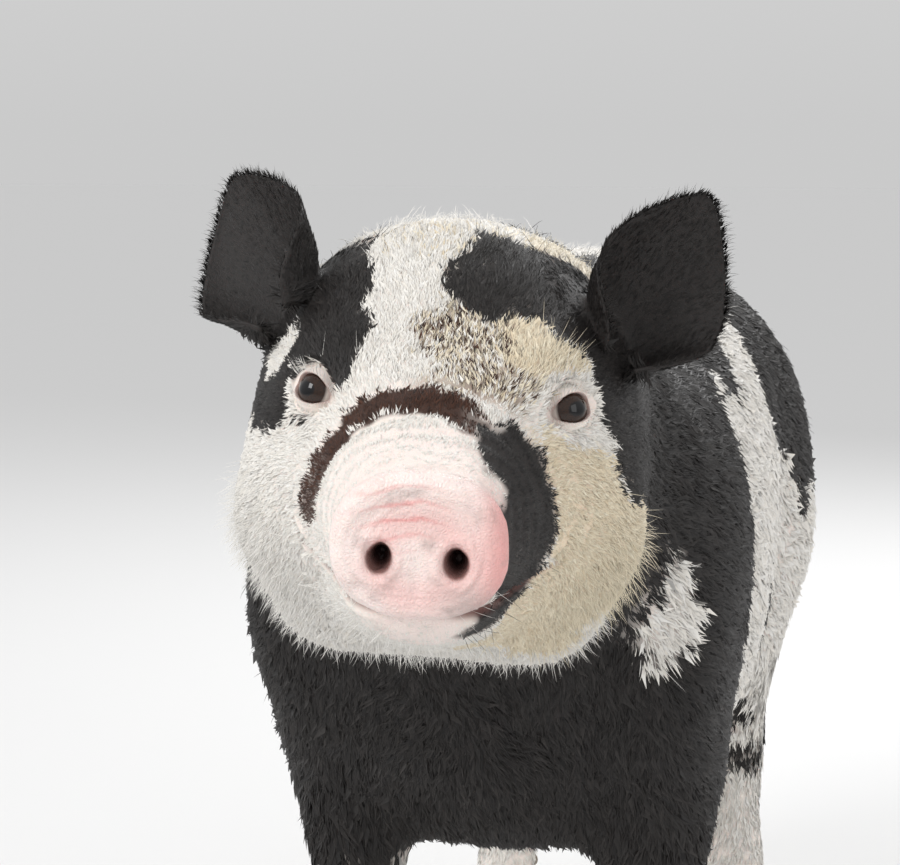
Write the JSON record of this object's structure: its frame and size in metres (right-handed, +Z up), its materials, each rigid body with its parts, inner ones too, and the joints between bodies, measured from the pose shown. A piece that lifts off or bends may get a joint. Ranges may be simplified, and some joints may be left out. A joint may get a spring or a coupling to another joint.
{
  "type": "domestic pig",
  "caption": "Life-size standing farm pig with pricked ears, broad snout and curled tail, looking at the viewer.",
  "frame": {"origin": "on the floor, under the middle of the model's bounding box", "axes": "+Z up, the pig faces -Y, its own left side is +X"},
  "size_m": [0.3796, 1.3198, 0.7696],
  "materials": {
    "coat": "short bristly hair over skin, white and cream",
    "dark_coat": "short bristly hair, soft black",
    "snout_skin": "bare moist pink skin",
    "claw": "dark horn",
    "eye": "polished, dark brown"
  },
  "bodies": {
    "root": {"belly": "coat", "claw_fore_left_inner": "claw", "claw_fore_left_outer": "claw", "claw_fore_right_inner": "claw", "claw_fore_right_outer": "claw", "claw_hind_left_inner": "claw", "claw_hind_left_outer": "claw", "claw_hind_right_inner": "claw", "claw_hind_right_outer": "claw", "dewclaw_fore_left_inner": "claw", "dewclaw_fore_left_outer": "claw", "dewclaw_fore_right_inner": "claw", "dewclaw_fore_right_outer": "claw", "dewclaw_hind_left_inner": "claw", "dewclaw_hind_left_outer": "claw", "dewclaw_hind_right_inner": "claw", "dewclaw_hind_right_outer": "claw", "ear_left": "dark_coat", "ear_right": "dark_coat", "eye_left": "eye", "eye_right": "eye", "foreleg_left_lower": "coat", "foreleg_left_upper": "coat", "foreleg_right_lower": "coat", "foreleg_right_upper": "coat", "head": "coat", "hindleg_left_lower": "coat", "hindleg_left_upper": "coat", "hindleg_right_lower": "coat", "hindleg_right_upper": "coat", "hindquarters": "coat", "neck": "dark_coat", "shoulders": "coat", "snout": "snout_skin", "tail_root": "coat", "tail_tip": "coat"}
  },
  "joints": []
}
